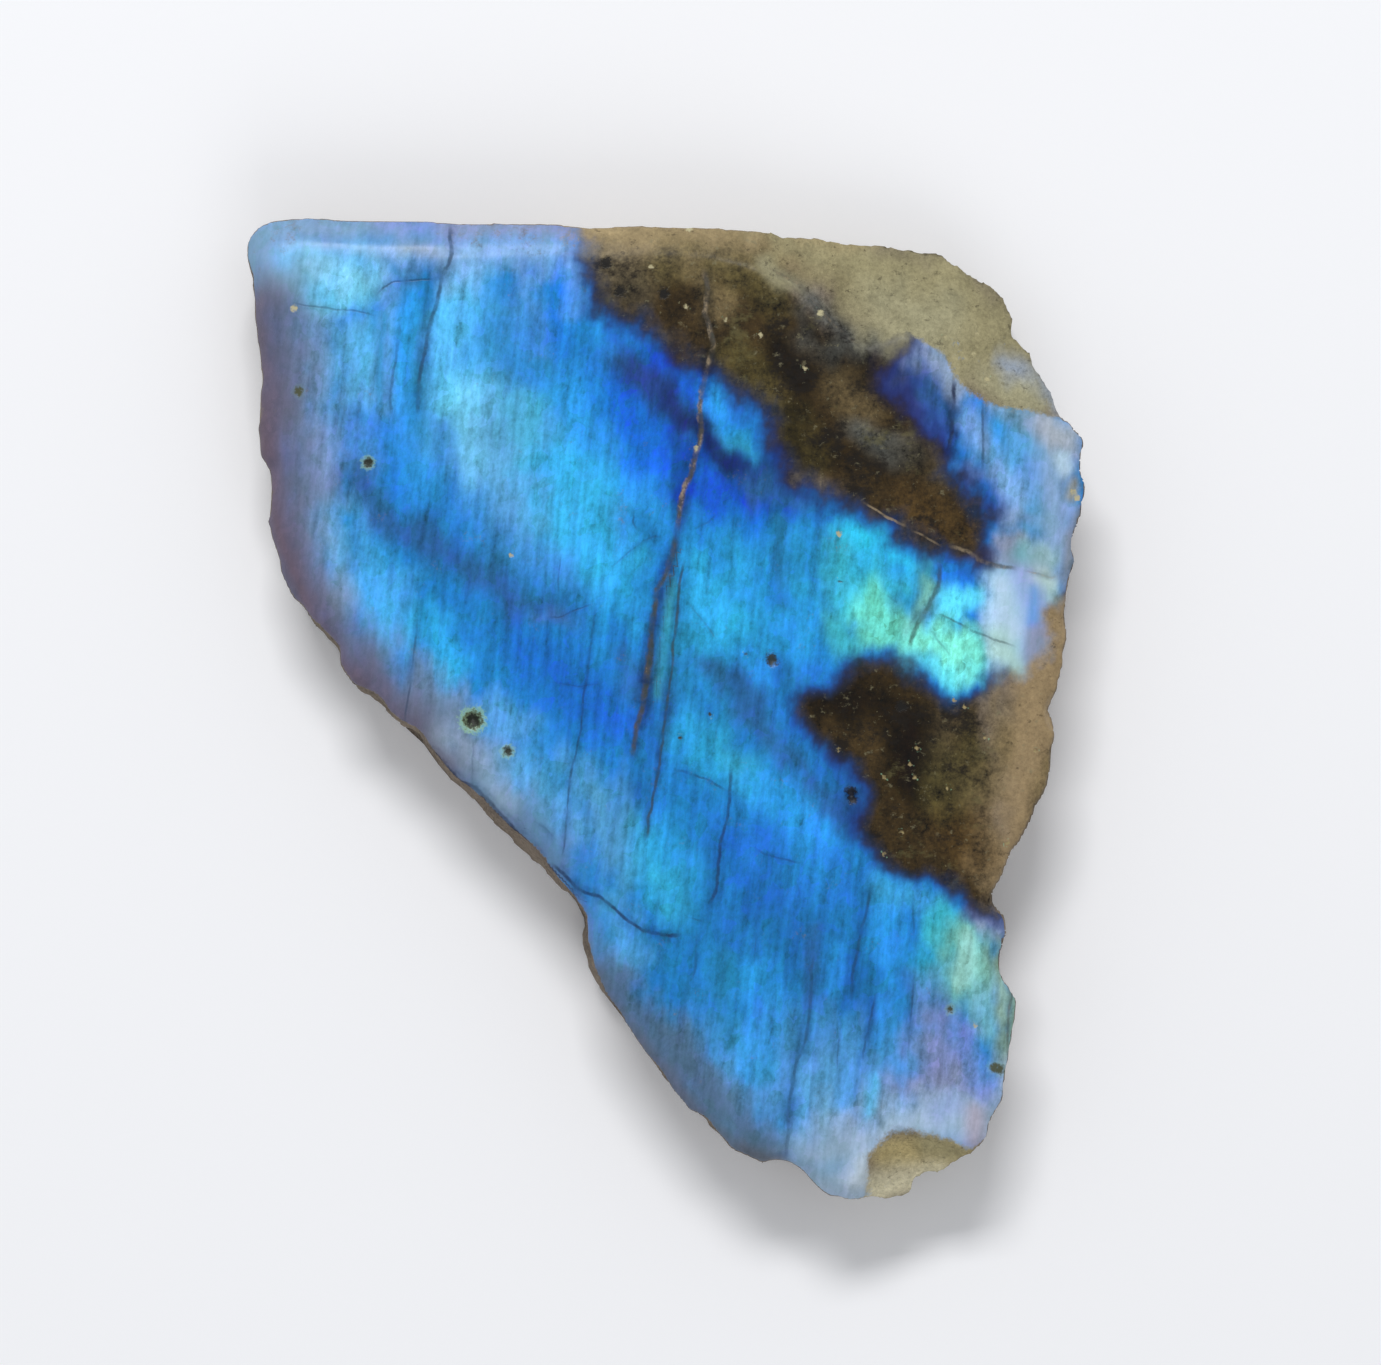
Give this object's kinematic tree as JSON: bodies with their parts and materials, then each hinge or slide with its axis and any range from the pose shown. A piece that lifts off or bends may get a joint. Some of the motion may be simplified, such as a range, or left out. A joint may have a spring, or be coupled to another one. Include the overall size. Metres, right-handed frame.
{
  "type": "labradorite slice",
  "caption": "Irregular slab of blue-flashing feldspar, polished on one face, sawn flat on the back, with broken and chipped sides.",
  "frame": {"origin": "middle of the slab's box, on the plane of the sawn back", "axes": "+Z out of the polished face, +Y along the slab's length towards its straight polished edge"},
  "size_m": [0.0384, 0.045, 0.006],
  "materials": {
    "labradorite": "polished face with a blue flash, brown-grey matte broken sides and sawn back"
  },
  "bodies": {
    "root": {"labradorite_slice": "labradorite"}
  },
  "joints": []
}
